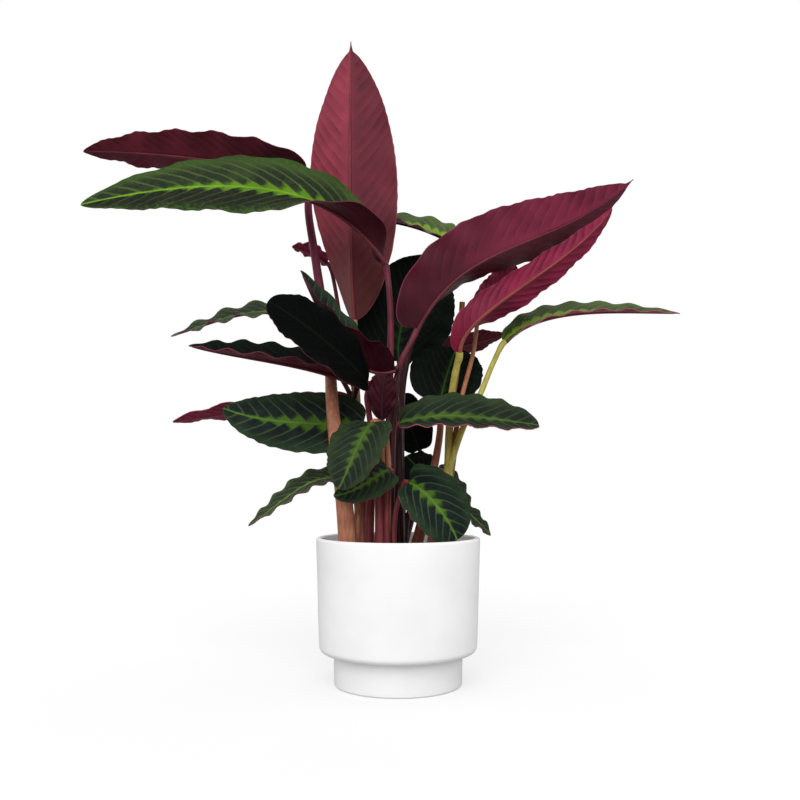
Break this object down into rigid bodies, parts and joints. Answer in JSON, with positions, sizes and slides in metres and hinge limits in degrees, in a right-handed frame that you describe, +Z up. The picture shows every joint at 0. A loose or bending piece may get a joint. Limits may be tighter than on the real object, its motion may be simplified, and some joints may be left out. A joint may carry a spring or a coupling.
{
  "type": "potted prayer plant",
  "caption": "Potted prayer plant with long waved leaves, green above and wine red below, on upright stalks, in a white round pot with a narrower foot.",
  "frame": {"origin": "centre of the pot's flat underside, on the surface that it stands on", "axes": "+Z up along the pot's axis, +X to the viewer's right, the viewer of the picture at -Y"},
  "size_m": [0.686, 0.2168, 0.735],
  "materials": {
    "pot": "white satin glaze on a ceramic pot",
    "soil": "loose dark potting soil",
    "stem": "smooth reddish brown leaf stalks, yellow green in places",
    "leaf_green": "velvety dark green leaf with a bright feathered midrib band, wine red below",
    "leaf_wine": "satin wine red underside of a leaf that is dark green above"
  },
  "bodies": {
    "root": {"pot": "pot", "soil": "soil", "stem_left": "stem", "stem_rear_left": "stem", "stem_centre": "stem", "stem_back": "stem", "stem_rear_right": "stem", "stem_right": "stem", "leaf_01": "leaf_wine", "leaf_02": "leaf_wine", "leaf_03": "leaf_green", "leaf_04": "leaf_green", "leaf_05": "leaf_wine", "leaf_06": "leaf_wine", "leaf_07": "leaf_wine", "leaf_08": "leaf_green", "leaf_09": "leaf_green", "leaf_10": "leaf_wine", "leaf_11": "leaf_wine", "leaf_12": "leaf_wine", "leaf_13": "leaf_green", "leaf_14": "leaf_wine", "leaf_15": "leaf_green", "leaf_16": "leaf_wine", "leaf_17": "leaf_green", "leaf_18": "leaf_green", "leaf_19": "leaf_green", "leaf_20": "leaf_green", "leaf_21": "leaf_green", "leaf_22": "leaf_green", "leaf_23": "leaf_green", "leaf_24": "leaf_green", "leaf_25": "leaf_wine", "leaf_26": "leaf_green", "leaf_27": "leaf_green", "leaf_28": "leaf_green"}
  },
  "joints": []
}
